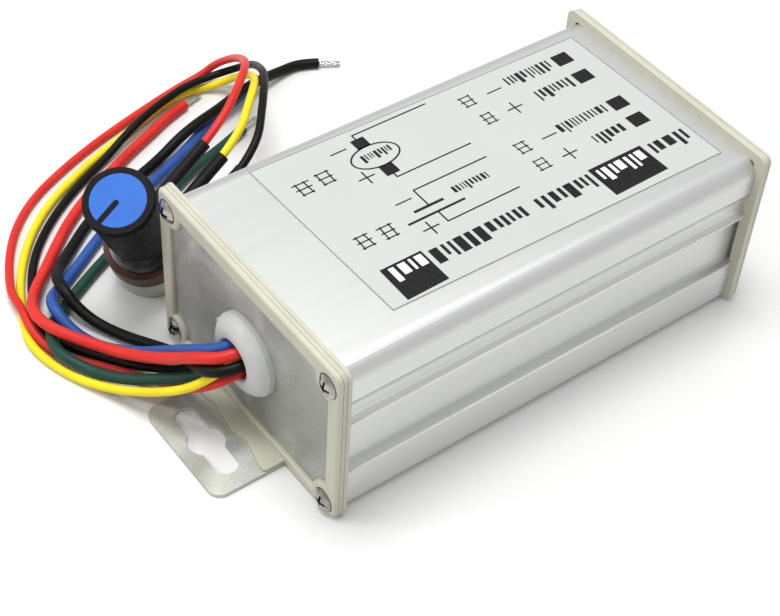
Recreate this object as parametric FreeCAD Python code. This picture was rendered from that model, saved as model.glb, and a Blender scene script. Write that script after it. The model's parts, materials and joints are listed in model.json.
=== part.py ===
import FreeCAD, Part
import math, os
os.makedirs("parts", exist_ok=True)

V = FreeCAD.Vector

# ---------------------------------------------------------------- sizes, mm
CASE_L = 105.6          # over both plastic bezels
CASE_W = 60.0
CASE_H = 40.0
BEZEL_T = 2.7
BEZEL_R = 2.0
BODY_HALF = 28.5        # half width of the extruded body
BODY_TOP = 38.3
SEAM_Z = 29.9           # where the lid meets the tray
PLATE_T = 0.9           # end plates and their mounting ears
EAR_HALF = 13.1
EAR_Y = -0.3             # the ears sit slightly off the middle
EAR_OUT = 68.4
SLOT_X = 62.2
SLOT_R = 2.45
SLOT_HALF = 7.0
SLOT_MID_R = 3.8
SCREWS = [(26.5, 35.5), (-26.5, 35.5), (26.3, 3.2), (-26.3, 3.2)]
SCREW_R = 1.15
HEAD_R = 2.45
HOLE_Z = 19.5           # cable exit height
HOLE_R = 4.2
BOARD_Z = 7.05
BOARD_T = 1.6
BOARD_TOP = BOARD_Z + BOARD_T
THICK_D = 2.4
THIN_D = 1.8
XB = CASE_L / 2 - BEZEL_T   # back face of the bezels
BODY_END = XB + 0.9         # the extrusion's end, sunk into the bezel

# potentiometer: axis, face centre and levels measured down from the knob face
POT_N = V(-0.35, -0.26, 0.90)
POT_TAGS = V(0.88, 0.20, 0.40)
POT_FACE = V(-57.6, 36.7, 32.95)
KNOB_TOP_R = 7.0
KNOB_BASE_R = 6.1
KNOB_H = 17.1
POT_R = 8.4
PLATE_LEVEL = 21.5
WAFER_LEVEL = 22.2
TAG_LEVEL = 24.5
COVER_LEVEL = 26.2
POT_DEPTH = 32.5
SHAFT_R = 3.0
TAG_END = 19.0
SLEEVE_A = 9.5
SLEEVE_B = 25.0

# lead routes: pad on the board, out through the grommet, then along the floor
LEADS = {
    "power_lead_red": (THICK_D, [
        (-28, -4, 8.65), (-29, -4, 14.5), (-34, -3, 19.6), (-42.5, -1.2, 22),
        (-57.4, -1.2, 22), (-61.2, 4.2, 20), (-62.6, 11, 14.3), (-64.1, 18, 9.2),
        (-66.6, 24.8, 6), (-70.1, 31, 5.6), (-73.2, 36.1, 5.7), (-74.9, 40.7, 5.8),
        (-74.3, 46, 4.6), (-71.1, 51, 3.4), (-65.8, 56.6, 1.8), (-60.6, 61.8, 1.2),
        (-55, 66.7, 1.2), (-49, 70.9, 1.2), (-42.5, 74.7, 1.2), (-36, 77.8, 1.2),
        (-30, 80.7, 1.2), (-24, 83.2, 1.2), (-18, 86, 1.2), (-12.5, 87.6, 1.2)]),
    "power_lead_black": (THICK_D, [
        (-29, -9, 8.65), (-29.8, -8.6, 13.8), (-34.6, -6, 18.4), (-43, -2.7, 19.9),
        (-57.4, -2.7, 19.9), (-61.3, 1.8, 18.3), (-59.2, 9.2, 13.1), (-58, 17, 7.6),
        (-59, 24, 4), (-61.3, 31, 1.6), (-64.2, 37.3, 1.5), (-66.2, 42.3, 3.4),
        (-66.7, 46.4, 5.6), (-66.1, 50.8, 5.1), (-62.9, 55.6, 2.4), (-57.6, 60, 1.2),
        (-51.5, 64.6, 1.2), (-45, 67.9, 1.2), (-38.5, 70.5, 1.2), (-32, 72.6, 1.2),
        (-26.5, 74.5, 1.6), (-21, 76.2, 3.1), (-15, 77.6, 3.95), (-9, 79, 3.95),
        (-3, 81, 3.9), (3, 82.8, 3.8), (8.5, 84.4, 2.6), (13.5, 85.6, 1.4),
        (18.5, 85.8, 1.2), (22.5, 83.5, 1.2)]),
    "motor_lead_blue": (THICK_D, [
        (-28, 4, 8.65), (-29, 4, 14.5), (-34, 3.2, 19.6), (-42.5, 1.4, 21.9),
        (-56.4, 1.4, 21.9), (-58.9, 6.8, 18.2), (-60.1, 12.6, 13.6), (-61.5, 18.6, 8.5),
        (-63.2, 24.4, 4.2), (-65.2, 29.2, 1.8), (-68.1, 33.8, 1.5), (-70.3, 38.4, 3.4),
        (-71, 43, 5.7), (-69.1, 47.6, 3.5), (-65, 51, 1.4), (-58.5, 55, 1.2),
        (-52, 59.2, 1.2), (-45, 63, 1.2), (-38, 66.3, 1.2), (-31, 69.3, 1.2),
        (-25, 71.7, 1.2), (-19.5, 74.4, 1.2), (-14, 77.4, 1.2), (-8, 80.5, 1.2),
        (-3.5, 82.3, 1.2), (1.2, 83.9, 1.2)]),
    "motor_lead_green": (THICK_D, [
        (-31, 10.5, 8.65), (-31.8, 10.2, 12.9), (-36.6, 6.8, 16.1), (-44, 1.4, 17.1),
        (-56.4, 1.4, 17.1), (-60.1, 5.9, 12.1), (-63.8, 12.2, 8), (-67.6, 18.6, 4.2),
        (-71.4, 25, 2.5), (-74.4, 30.6, 3.1), (-75.3, 34.8, 3.3), (-74.3, 38.2, 3.3),
        (-72.7, 41.1, 3.1), (-70, 43.6, 1.4), (-65.5, 46.7, 1.2), (-61, 49.3, 1.2),
        (-56, 52, 1.2), (-50, 54.9, 1.2), (-44, 57.6, 1.2), (-37.5, 60.6, 1.2),
        (-31, 63.5, 1.2), (-25, 66.4, 1.2), (-19, 68.6, 1.2), (-12, 70.6, 1.2),
        (-6, 73, 1.2)]),
    "pot_lead_red": (THIN_D, [
        (-31, -4.5, 8.65), (-31.8, -4.4, 12.8), (-36.4, -3.4, 16.2), (-44, -1.6, 16.9),
        (-57, -1.6, 16.9), (-60.2, 2, 12.9), (-61.2, 7.2, 8.2), (-62.4, 13.4, 4.8),
        (-64.8, 20, 2), (-68, 26, 1), (-71.6, 30.8, 0.9), (-74.9, 35.4, 0.9),
        (-76, 40, 1.7), (-76.3, 43.8, 3), (-75.2, 49.4, 2.85), (-74.8, 54, 2.2),
        (-72.6, 59.6, 0.9), (-69, 66.2, 0.9), (-63.8, 72.8, 0.9), (-56.6, 78.6, 0.9),
        (-47, 83.2, 0.9), (-37.5, 86.8, 0.9), (-28, 89.6, 0.9), (-19, 92, 0.9),
        (-10.5, 94, 0.9), (-3.6, 94.4, 1.6), (-1, 91.9, 5.6), (-0.4, 85.4, 11.2),
        (-3.2, 77.6, 17.4), (-7.2, 69.2, 23.6), (-13, 61.6, 27.2), (0, 0, 0), None]),
    "pot_lead_yellow": (THIN_D, [
        (-31.5, 0.5, 8.65), (-32.3, 0.5, 13.4), (-37, 0.2, 17.6), (-44.5, -0.2, 18.9),
        (-57.4, -0.2, 18.5), (-62, 2.6, 14), (-64.6, 7, 9.8), (-67.4, 12.8, 5.8),
        (-70.8, 19.6, 2.4), (-74.4, 26.4, 1), (-77, 33.4, 0.9), (-78, 40.6, 0.9),
        (-76.3, 46.2, 0.9), (-74, 51.6, 0.9), (-71.2, 57.4, 0.9), (-67, 63.6, 0.9),
        (-61.6, 69.6, 0.9), (-54.4, 75.3, 0.9), (-45.3, 80, 0.9), (-36.3, 83.7, 0.9),
        (-27, 86.9, 0.9), (-18, 90.1, 0.9), (-10, 91.7, 0.9), (-3.4, 89.6, 1.5),
        (-0.6, 85.2, 5.6), (-1.2, 78.8, 11), (-4.3, 71.4, 17.2), (-8.4, 63.6, 23),
        (-14.8, 56, 25.6), (0, 0, 0), None]),
    "pot_lead_black": (THIN_D, [
        (-31, 5.5, 8.65), (-31.8, 5.3, 13.6), (-36.5, 4, 18.6), (-43.5, 2.6, 19.8),
        (-56.3, 2.4, 19.6), (-56.8, 7.8, 12.6), (-59.2, 13.4, 6.6), (-62, 19.4, 3.4),
        (-64.7, 24.8, 1.2), (-68.2, 30, 0.9), (-71.6, 35.2, 0.9), (-73.5, 40, 0.9),
        (-73.7, 44.3, 0.9), (-72.7, 48.8, 0.9), (-70.4, 54, 0.9), (-67.4, 59.3, 0.9),
        (-63.4, 64.3, 0.9), (-58.1, 69.2, 0.9), (-51.7, 73.8, 0.9), (-44, 78.1, 0.9),
        (-36.5, 81.4, 1.3), (-30, 84, 3), (-23.5, 86.6, 3.6), (-17, 88.9, 3.6),
        (-10.5, 90.8, 3.4), (-3.6, 91, 3.3), (2.4, 88, 5.4), (2.2, 82, 10.6),
        (-0.8, 73.8, 16.6), (-5.2, 64.8, 22.2), (-12.6, 54.4, 25), (0, 0, 0), None]),
}
TAG_Y = {"pot_lead_red": 5.0, "pot_lead_yellow": 0.0, "pot_lead_black": -5.0}


# ---------------------------------------------------------------- helpers
def box(x0, x1, y0, y1, z0, z1):
    return Part.makeBox(x1 - x0, y1 - y0, z1 - z0, V(x0, y0, z0))


def cyl(r, length, at, along):
    return Part.makeCylinder(r, length, V(*at), V(*along))


def prism_x(points, x0, x1):
    wire = Part.makePolygon([V(x0, y, z) for y, z in points + points[:1]])
    return Part.Face(wire).extrude(V(x1 - x0, 0, 0))


def round_box_x(x0, x1, half_y, z0, z1, r):
    """Box with its four long edges (along X) rounded."""
    b = box(x0, x1, -half_y, half_y, z0, z1)
    edges = [e for e in b.Edges if abs(e.Vertexes[0].Z - e.Vertexes[1].Z) < 1e-6
             and abs(e.Vertexes[0].Y - e.Vertexes[1].Y) < 1e-6]
    return b.makeFillet(r, edges)


def round_plate_z(x0, x1, y0, y1, z0, z1, r):
    b = box(x0, x1, y0, y1, z0, z1)
    edges = [e for e in b.Edges if abs(e.Vertexes[0].X - e.Vertexes[1].X) < 1e-6
             and abs(e.Vertexes[0].Y - e.Vertexes[1].Y) < 1e-6]
    return b.makeFillet(r, edges)


def fuse(shapes):
    out = shapes[0]
    if len(shapes) > 1:
        out = shapes[0].multiFuse(shapes[1:])
    return out.removeSplitter()


def mirror_x(shape):
    return shape.mirror(V(0, 0, 0), V(1, 0, 0))


def save(name, shape):
    solids = shape.Solids if hasattr(shape, "Solids") else shape
    out = Part.makeCompound(solids) if len(solids) > 1 else solids[0]
    out.exportStep("parts/" + name + ".step")
    print(name, len(solids), "solids", round(sum(s.Volume for s in solids), 2), "mm3")


def pot_place(shape):
    """Move a shape drawn at the origin (axis +Z, tags +X) onto the potentiometer."""
    ez = V(POT_N).normalize()
    ex = POT_TAGS - ez * POT_TAGS.dot(ez)
    ex.normalize()
    ey = ez.cross(ex)
    m = FreeCAD.Matrix(ex.x, ey.x, ez.x, POT_FACE.x,
                       ex.y, ey.y, ez.y, POT_FACE.y,
                       ex.z, ey.z, ez.z, POT_FACE.z,
                       0, 0, 0, 1)
    out = shape.copy()
    out.transformShape(m, True)
    return out


def pot_point(x, y, z):
    ez = V(POT_N).normalize()
    ex = POT_TAGS - ez * POT_TAGS.dot(ez)
    ex.normalize()
    ey = ez.cross(ex)
    return POT_FACE + ex * x + ey * y + ez * z


def ring(r_out, r_in, z0, z1):
    a = Part.makeCylinder(r_out, z1 - z0, V(0, 0, z0))
    return a.cut(Part.makeCylinder(r_in, z1 - z0 + 2, V(0, 0, z0 - 1)))


def tube_along(points, d):
    """Round cord: straight runs joined by tangent arcs."""
    pts = [V(*p) for p in points]
    edges = []
    radii = []
    here = pts[0]
    for a, b, c in zip(pts, pts[1:], pts[2:]):
        u = (b - a).normalize()
        w = (c - b).normalize()
        half = u.getAngle(w) / 2
        trim = 0.45 * min((b - a).Length, (c - b).Length)
        p = b - u * trim
        q = b + w * trim
        radius = trim / math.tan(half)
        radii.append(radius)
        bis = (w - u).normalize()
        centre = b + bis * (trim / math.sin(half))
        mid = centre - bis * radius
        edges.append(Part.LineSegment(here, p).toShape())
        edges.append(Part.Arc(p, mid, q).toShape())
        here = q
    edges.append(Part.LineSegment(here, pts[-1]).toShape())
    path = Part.Wire(edges)
    first = (pts[1] - pts[0]).normalize()
    circle = Part.Circle(pts[0], first, d / 2).toShape()
    pipe = path.makePipeShell([Part.Wire([circle])], True, True)
    solid = Part.Solid(pipe) if pipe.ShapeType != "Solid" else pipe
    if solid.Volume < 0:
        solid.reverse()
    want = math.pi * d * d / 4 * path.Length
    print("   length", round(path.Length, 1), "min radius", round(min(radii), 2),
          "volume ratio", round(solid.Volume / want, 4))
    return solid


# ---------------------------------------------------------------- case
def lower_half():
    """Half outline of the tray, outside, from the middle of the floor."""
    return [(0, 0), (26.5, 0), (27.9, 0.6), (BODY_HALF, 2), (BODY_HALF, 10.3),
            (28.2, 10.7), (26.9, 11.0), (26.8, 11.4), (26.8, 23.0), (28.1, 23.5),
            (BODY_HALF, 23.8), (BODY_HALF, 24.2), (27.6, 25.0), (27.5, 26.0),
            (27.7, 28.4), (28.1, SEAM_Z)]


def lower_prism(x0, x1):
    half = lower_half()
    return prism_x(half + [(-y, z) for y, z in reversed(half[1:])], x0, x1)


def upper_prism(x0, x1):
    r = 4.0
    arc = [(BODY_HALF - r + r * math.cos(a), BODY_TOP - r + r * math.sin(a))
           for a in [math.radians(9 * i) for i in range(11)]]
    half = [(28.1, SEAM_Z), (BODY_HALF, 30.5)] + arc
    return prism_x(half + [(-y, z) for y, z in reversed(half)], x0, x1)


def lower_shell():
    solid = lower_prism(-BODY_END, BODY_END)
    solid = solid.cut(box(-BODY_END - 1, BODY_END + 1, -25.2, 25.2, 2.0, SEAM_Z + 1))
    full = lower_prism(-BODY_END, BODY_END)
    for y, z in SCREWS[2:]:
        port = cyl(2.6, 2 * BODY_END, (-BODY_END, y, z), (1, 0, 0)).common(full)
        solid = solid.fuse(port)
    solid = solid.removeSplitter()
    solid = solid.cut(box(-BODY_END - 1, BODY_END + 1, -26.2, 26.2, BOARD_Z - 0.05, BOARD_TOP + 0.05))
    for y, z in SCREWS[2:]:
        for s in (-1, 1):
            solid = solid.cut(cyl(SCREW_R + 0.05, 17, (s * (BODY_END + 1), y, z), (-s, 0, 0)))
    for x in CLAMP_X:
        solid = solid.cut(cyl(1.25, 1.5, (x, -25.2 + 0.2, 20), (0, -1, 0)))
    return solid


def upper_shell():
    full = upper_prism(-BODY_END, BODY_END)
    solid = full.cut(box(-BODY_END - 1, BODY_END + 1, -26.0, 26.0, SEAM_Z - 1, 33.5))
    solid = solid.cut(box(-BODY_END - 1, BODY_END + 1, -23.4, 23.4, 33.0, 36.6))
    for s in (-1, 1):
        lip = box(-BODY_END, BODY_END, min(s * 23.6, s * 25.1), max(s * 23.6, s * 25.1), 28.2, 33.6)
        foot = box(-BODY_END, BODY_END, min(s * 25.0, s * 26.1), max(s * 25.0, s * 26.1), SEAM_Z, 33.6)
        solid = solid.multiFuse([lip, foot])
    solid = solid.removeSplitter()
    for y, z in SCREWS[:2]:
        for s in (-1, 1):
            solid = solid.cut(cyl(SCREW_R + 0.05, 17, (s * (BODY_END + 1), y, z), (-s, 0, 0)))
    return solid


def soften(shape, radius, pick):
    """Round the edges that pick() accepts."""
    edges = [e for e in shape.Edges if pick(e)]
    return shape.makeFillet(radius, edges)


def front_bezel():
    x0 = -CASE_L / 2
    lip = round_box_x(-XB - 0.8, -XB, CASE_W / 2, 0, CASE_H, BEZEL_R)
    frame = round_box_x(x0, -XB - 0.4, CASE_W / 2 - 0.2, 0.15, CASE_H - 0.2, BEZEL_R - 0.2)
    frame = soften(frame, 0.7, lambda e: all(abs(v.X - x0) < 1e-6 for v in e.Vertexes))
    frame = frame.fuse(lip)
    groove = round_box_x(x0 + 0.95, x0 + 1.1, CASE_W, -10, CASE_H + 10, 1.0)
    inner = round_box_x(x0, -XB, CASE_W / 2 - 0.32, 0.27, CASE_H - 0.32, BEZEL_R - 0.3)
    frame = frame.cut(groove.cut(inner))
    opening = round_box_x(x0 - 1, -XB + 1, 26.4, 3.0, 36.0, 1.0)
    for y, z in SCREWS:
        opening = opening.cut(cyl(4.0, 8, (x0 - 3, y, z), (1, 0, 0)))
    frame = frame.cut(opening)
    rim = [e for e in frame.Edges if all(abs(v.X - x0) < 1e-6 for v in e.Vertexes)
           and e.BoundBox.YMin > -27 and e.BoundBox.YMax < 27
           and e.BoundBox.ZMin > 2.5 and e.BoundBox.ZMax < 36.5]
    frame = frame.makeChamfer(0.35, rim)
    pocket = x0 + 0.9
    ear0, ear1 = EAR_Y - EAR_HALF - 0.1, EAR_Y + EAR_HALF + 0.1
    frame = frame.cut(round_box_x(pocket, -XB + 1, 27.5, 1.2, 38.0, 1.0))
    frame = frame.cut(box(pocket, -XB + 1, ear0, ear1, -1, 3))
    frame = frame.cut(box(x0 - 1, -XB + 1, ear0, ear1, -1, 0.95))
    frame = frame.cut(lower_prism(-BODY_END, -XB + 1)).cut(upper_prism(-BODY_END, -XB + 1))
    for y, z in SCREWS:
        frame = frame.cut(cyl(SCREW_R + 0.15, 8, (x0 - 1, y, z), (1, 0, 0)))
        frame = frame.cut(cyl(HEAD_R + 0.15, 1.6, (x0 - 1, y, z), (1, 0, 0)))
    return frame.removeSplitter()


def apron():
    """Moulded tongue of the front bezel that lies over the root of the ear."""
    x0 = -CASE_L / 2
    edge = [(-56.7, 12.6), (-56.6, 8.6), (-55.9, 6.1), (-56.2, 3.2), (-56.8, -1.1),
            (-56.0, -4.5), (-56.5, -7.2), (-57.5, -11.4), (-57.4, -12.9), (-56.9, -13.3)]
    pts = [(x0 + 0.4, 12.6)] + edge + [(x0 + 0.4, -13.3)]
    wire = Part.makePolygon([V(x, y, 0.95) for x, y in pts + pts[:1]])
    return Part.Face(wire).extrude(V(0, 0, 0.65))


def end_plate():
    x0 = -BODY_END - PLATE_T
    plate = round_box_x(x0, -BODY_END, 27.4, 1.3, 37.9, 1.0)
    y0, y1 = EAR_Y - EAR_HALF, EAR_Y + EAR_HALF
    stem = box(x0, -BODY_END, y0, y1, 0.5, 3)
    ear = round_plate_z(-EAR_OUT, -BODY_END - 0.1, y0, y1, 0, PLATE_T, 2.6)
    root = box(-BODY_END - 4, -BODY_END, y0, y1, 0, PLATE_T)
    body = fuse([plate, stem, ear, root])
    low, high = EAR_Y - SLOT_HALF, EAR_Y + SLOT_HALF
    slot = box(-SLOT_X - SLOT_R, -SLOT_X + SLOT_R, low, high, -1, 2)
    cuts = [slot]
    for y in (low, high):
        cuts.append(cyl(SLOT_R, 3, (-SLOT_X, y, -1), (0, 0, 1)))
    cuts.append(cyl(SLOT_MID_R, 3, (-SLOT_X, EAR_Y, -1), (0, 0, 1)))
    for y, z in SCREWS:
        cuts.append(cyl(SCREW_R + 0.15, 4, (-BODY_END - 3, y, z), (1, 0, 0)))
    for c in cuts:
        body = body.cut(c)
    return body


def front_plate():
    return end_plate().cut(cyl(6.3, 4, (-BODY_END - 3, 0, HOLE_Z), (1, 0, 0)))


def screw(x, y, z, s):
    """Domed cross-head screw. s is -1 at the front end and +1 at the rear."""
    seat = s * (CASE_L / 2 - 0.6)
    head = cyl(HEAD_R, 0.7, (seat, y, z), (s, 0, 0))
    r = 3.6
    dome = Part.makeSphere(r, V(seat + s * (1.7 - r), y, z))
    dome = dome.common(cyl(HEAD_R, 2, (seat + s * 0.1, y, z), (s, 0, 0)))
    shank = cyl(SCREW_R, 12, (seat, y, z), (-s, 0, 0))
    out = fuse([head, dome, shank])
    top = seat + s * 0.8
    a, b = sorted((top, top + s * 2))
    for wy, wz in ((1.45, 0.3), (0.3, 1.45)):
        out = out.cut(box(a, b, y - wy, y + wy, z - wz, z + wz))
    return out


def grommet():
    """Domed cable grommet, turned about the hole's axis and snapped into the end plate."""
    rim, lip = 8.8, 5.0
    sides = [V(HOLE_R, 0, -1.2), V(7.6, 0, -1.2), V(7.6, 0, 0), V(6.25, 0, 0),
             V(6.25, 0, PLATE_T), V(rim, 0, PLATE_T), V(rim, 0, PLATE_T + 1.1)]
    edges = [Part.LineSegment(a, b).toShape() for a, b in zip(sides, sides[1:])]
    top = V(lip, 0, PLATE_T + 3.6)
    edges.append(Part.Arc(sides[-1], V(7.5, 0, PLATE_T + 2.75), top).toShape())
    inside = V(HOLE_R, 0, PLATE_T + 3.1)
    edges.append(Part.Arc(top, V(4.5, 0, PLATE_T + 3.5), inside).toShape())
    edges.append(Part.LineSegment(inside, sides[0]).toShape())
    body = Part.Face(Part.Wire(edges)).revolve(V(0, 0, 0), V(0, 0, 1), 360)
    nub = cyl(0.9, 1.2, (1.5, 8.6, PLATE_T), (0, 0, 1))
    body = Part.Solid(body) if body.ShapeType != "Solid" else body
    body = body.fuse(nub).removeSplitter()
    turn = FreeCAD.Matrix(0, 0, -1, -BODY_END, 0, 1, 0, 0, 1, 0, 0, HOLE_Z, 0, 0, 0, 1)
    out = body.copy()
    out.transformShape(turn, True)
    return out.cut(cyl(HOLE_R, 14, (-BODY_END + 3, 0, HOLE_Z), (-1, 0, 0)))


def label():
    pts = [(-34.4, -20.4), (46.2, -21.9), (45.2, 23.2), (-35.6, 24.6)]
    wire = Part.makePolygon([V(x, y, BODY_TOP) for x, y in pts + pts[:1]])
    return Part.Face(wire).extrude(V(0, 0, 0.12))


# ---------------------------------------------------------------- electronics
CLAMP_X = (-3.0, 29.0)
DEVICE_X = (-12.0, 6.0, 20.0)
DIODE_X = 38.0
PINS = []


def pin(x, y, w, top):
    """Square component leg through the board; remembered for the board's holes."""
    PINS.append((x, y, w))
    h = w / 2
    return box(x - h, x + h, y - h, y + h, BOARD_Z - 1.2, top)


def to220(x, legs):
    body = box(x - 5, x + 5, -24.9, -20.4, 13, 22)
    tab = box(x - 5, x + 5, -24.9, -23.6, 21.9, 28)
    out = fuse([body, tab])
    out = out.cut(cyl(1.8, 6, (x, -27, 25.2), (0, 1, 0)))
    pins = [pin(x + dx, -22.4, 0.8, 13.1) for dx in legs]
    return fuse([out] + pins)


def electrolytic(x, y, r, h):
    can = Part.makeCylinder(r, h, V(x, y, BOARD_TOP))
    rims = [e for e in can.Edges if e.Curve.TypeId == "Part::GeomCircle"]
    can = can.makeFillet(0.8, rims)
    groove = Part.makeTorus(r + 0.3, 0.7, V(x, y, BOARD_TOP + 2.2))
    can = can.cut(groove)
    return fuse([can] + [pin(x, y + s * 2.5, 0.6, BOARD_TOP + 0.6) for s in (-1, 1)])


def axial(x, y, span, r):
    body = cyl(r, span - 4, (x - (span - 4) / 2, y, BOARD_TOP + r + 0.1), (1, 0, 0))
    legs = []
    for s in (-1, 1):
        legs.append(pin(x + s * span / 2, y, 0.5, BOARD_TOP + r + 0.3))
        a, b = sorted((x + s * (span / 2 + 0.25), x + s * (span / 2 - 2.2)))
        legs.append(box(a, b, y - 0.25, y + 0.25, BOARD_TOP + r - 0.15, BOARD_TOP + r + 0.35))
    return fuse([body] + legs)


def disc_cap(x, y):
    body = cyl(3.0, 2.2, (x, y - 1.1, BOARD_TOP + 3.6), (0, 1, 0))
    return fuse([body] + [pin(x + s * 1.6, y, 0.5, BOARD_TOP + 2.0) for s in (-1, 1)])


def dip8(x, y):
    body = box(x - 4.8, x + 4.8, y - 3.2, y + 3.2, BOARD_TOP + 0.6, BOARD_TOP + 3.9)
    legs = []
    for i in range(4):
        for s in (-1, 1):
            px = x - 3.81 + 2.54 * i
            legs.append(pin(px, y + s * 3.8, 0.5, BOARD_TOP + 2.5))
            a, b = sorted((y + s * 3.0, y + s * 4.05))
            legs.append(box(px - 0.25, px + 0.25, a, b, BOARD_TOP + 2.0, BOARD_TOP + 2.5))
    return fuse([body] + legs)


def regulator(x, y):
    can = cyl(2.4, 4.6, (x, y, BOARD_TOP + 2.5), (0, 0, 1))
    can = can.cut(box(x - 3, x + 3, y - 3, y - 1.3, BOARD_TOP, BOARD_TOP + 9))
    return fuse([can] + [pin(x + d, y, 0.5, BOARD_TOP + 2.7) for d in (-1.27, 0, 1.27)])


def board():
    b = box(-46, 46, -25.9, 25.9, BOARD_Z, BOARD_TOP)
    for x, y, w in PINS:
        h = w / 2 + 0.05
        b = b.cut(box(x - h, x + h, y - h, y + h, BOARD_Z - 1, BOARD_TOP + 1))
    return b


def tie():
    band = cyl(5.0, 2.0, (-48.4, 0, HOLE_Z), (1, 0, 0))
    head = box(-48.6, -46.2, -2, 2, HOLE_Z + 4.4, HOLE_Z + 7.2)
    out = fuse([band, head])
    return out.cut(cyl(4.05, 6, (-50, 0, HOLE_Z), (1, 0, 0)))


# ---------------------------------------------------------------- potentiometer
def knob():
    body = Part.makeCone(KNOB_BASE_R, KNOB_TOP_R, KNOB_H, V(0, 0, -KNOB_H))
    body = body.cut(Part.makeCylinder(5.7, 2, V(0, 0, -1.2)))
    rib = box(-6.2, -0.6, -0.55, 0.55, -1.3, 0)
    tip = Part.makeCylinder(0.55, 1.3, V(-0.6, 0, -1.3))
    body = fuse([body, rib, tip])
    body = body.cut(Part.makeCylinder(SHAFT_R, KNOB_H - 4, V(0, 0, -KNOB_H - 1)))
    skirt = ring(5.0, 4.3, -KNOB_H - 1, -KNOB_H + 7)
    return body.cut(skirt)


def knob_cap():
    disc = Part.makeCylinder(5.65, 1.2, V(0, 0, -1.2))
    slot = box(-7, -0.6, -0.6, 0.6, -2, 1)
    return disc.cut(slot).cut(Part.makeCylinder(0.6, 4, V(-0.6, 0, -2)))


def shaft():
    top = -5.0
    rod = Part.makeCylinder(SHAFT_R, POT_DEPTH - 1.2 + top, V(0, 0, -POT_DEPTH + 1.2))
    return rod


def wiper():
    return ring(5.8, SHAFT_R, -COVER_LEVEL - 2.6, -COVER_LEVEL - 0.6)


def pot_plate():
    plate = ring(6.9, 3.3, -WAFER_LEVEL, -PLATE_LEVEL)
    bush = ring(3.5, SHAFT_R + 0.05, -WAFER_LEVEL, -18.2)
    return fuse([plate, bush]).cut(Part.makeCylinder(SHAFT_R + 0.05, 40, V(0, 0, -40)))


def wafer():
    w = ring(8.3, 3.4, -COVER_LEVEL, -WAFER_LEVEL)
    shelf = box(5, 9.2, -7.2, 7.2, -COVER_LEVEL, -WAFER_LEVEL)
    shelf = shelf.cut(Part.makeCylinder(5.5, 10, V(0, 0, -30)))
    w = fuse([w, shelf])
    for y in (-5, 0, 5):
        w = w.cut(tag(y))
    return w


def tag(y):
    return box(4.6, TAG_END, y - 0.8, y + 0.8, -TAG_LEVEL - 0.25, -TAG_LEVEL + 0.25)


def cover():
    cup = Part.makeCylinder(POT_R, POT_DEPTH - COVER_LEVEL, V(0, 0, -POT_DEPTH))
    cup = cup.cut(Part.makeCylinder(7.5, POT_DEPTH - COVER_LEVEL, V(0, 0, -POT_DEPTH + 0.8)))
    return cup


def track():
    t = ring(6.4, 4.2, -COVER_LEVEL - 0.15, -COVER_LEVEL)
    return t.cut(box(0, 9, -2.2, 2.2, -30, 0))


def nut():
    flat = []
    for i in range(6):
        a = math.radians(60 * i)
        flat.append(V(5.77 * math.cos(a), 5.77 * math.sin(a), -20.9))
    hexa = Part.Face(Part.makePolygon(flat + flat[:1])).extrude(V(0, 0, 2.2))
    return hexa.cut(Part.makeCylinder(3.55, 9, V(0, 0, -24)))


def washer():
    w = ring(6.0, 3.6, -PLATE_LEVEL, -20.9)
    for i in range(12):
        a = math.radians(30 * i)
        w = w.cut(cyl(0.35, 2, (5.9 * math.cos(a), 5.9 * math.sin(a), -22), (0, 0, 1)))
    return w


def sleeve(y):
    s = cyl(1.35, SLEEVE_B - SLEEVE_A, (SLEEVE_A, y, -TAG_LEVEL), (1, 0, 0))
    return s.cut(cyl(0.95, 40, (SLEEVE_A - 2, y, -TAG_LEVEL), (1, 0, 0)))


def lead_points(name):
    d, pts = LEADS[name]
    if pts[-1] is None:
        end = pot_point(TAG_END, TAG_Y[name], -TAG_LEVEL)
        near = pot_point(TAG_END + 11, TAG_Y[name], -TAG_LEVEL)
        pts = pts[:-2] + [tuple(near), tuple(end)]
    return d, [tuple(p) for p in pts]


def tinned(points):
    a = V(*points[-2])
    b = V(*points[-1])
    u = (b - a).normalize()
    return cyl(0.75, 5.5, tuple(b), tuple(u))


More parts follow.
